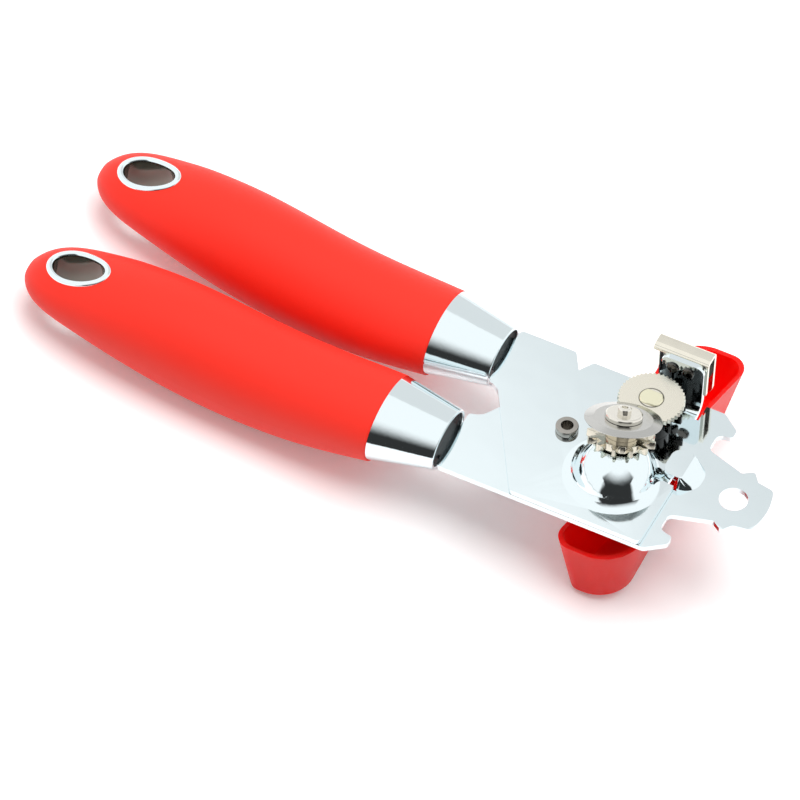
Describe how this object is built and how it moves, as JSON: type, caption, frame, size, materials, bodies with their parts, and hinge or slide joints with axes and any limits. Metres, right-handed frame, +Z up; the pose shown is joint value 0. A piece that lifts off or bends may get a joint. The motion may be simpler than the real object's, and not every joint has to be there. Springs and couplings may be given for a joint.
{
  "type": "can opener",
  "caption": "Manual can opener with soft red handles, tilted cutting wheel, serrated feed wheel, butterfly turn knob, lid magnet and bottle-opener nose.",
  "frame": {"origin": "centre of the bounding box on the table the opener lies on", "axes": "+X from the grip ends to the nose, +Y to the back handle, +Z up from the table"},
  "size_m": [0.1956, 0.0828, 0.0468],
  "materials": {
    "plate_chrome": "polished chrome plate on stamped steel",
    "trim_chrome": "polished chrome plate on drawn steel",
    "nickel": "dull nickel plate on steel",
    "blade": "ground hardened steel",
    "steel": "turned and polished steel",
    "black_steel": "black oxide on machined steel",
    "magnet": "matt sintered ferrite",
    "black_plastic": "moulded",
    "red_grip": "soft-touch coat",
    "red_knob": "moulded with a fine matt texture"
  },
  "bodies": {
    "lower_jaw": {"lower_plate": "plate_chrome", "pivot_rivet": "steel", "shaft_bush": "black_steel", "thrust_washer": "black_steel", "knob_washer": "steel", "magnet_yoke": "nickel", "magnet_block": "magnet", "magnet_rivets": "steel", "front_ferrule": "trim_chrome", "front_core": "black_plastic", "front_grip": "red_grip", "front_eyelet": "trim_chrome"},
    "upper_jaw": {"upper_plate": "plate_chrome", "cutter_stud": "steel", "cutter_washer": "steel", "back_ferrule": "trim_chrome", "back_core": "black_plastic", "back_grip": "red_grip", "back_eyelet": "trim_chrome"},
    "drive": {"drive_shaft": "nickel", "drive_gear": "black_steel", "feed_wheel": "nickel", "turn_knob": "red_knob"},
    "cutter": {"cutter_hub": "nickel", "cutter_gear": "nickel", "cutter_wheel": "blade"}
  },
  "joints": [
    {"name": "jaw_pivot", "type": "hinge", "parent": "lower_jaw", "child": "upper_jaw", "pos_m": [0.04368, -0.00938, 0.02587], "axis": [0.1576, 0, -0.9875], "range_deg": [0, 38]},
    {"name": "knob_turn", "type": "hinge", "parent": "lower_jaw", "child": "drive", "pos_m": [0.06037, 0.00302, 0.02854], "axis": [-0.1576, 0, 0.9875], "continuous": true},
    {"name": "cutter_turn", "type": "hinge", "parent": "upper_jaw", "child": "cutter", "pos_m": [0.05713, -0.01113, 0.03986], "axis": [-0.245, 0.3774, 0.8931], "continuous": true}
  ],
  "couplings": [
    {"joint": "cutter_turn", "follows": "knob_turn", "ratio": -1}
  ]
}
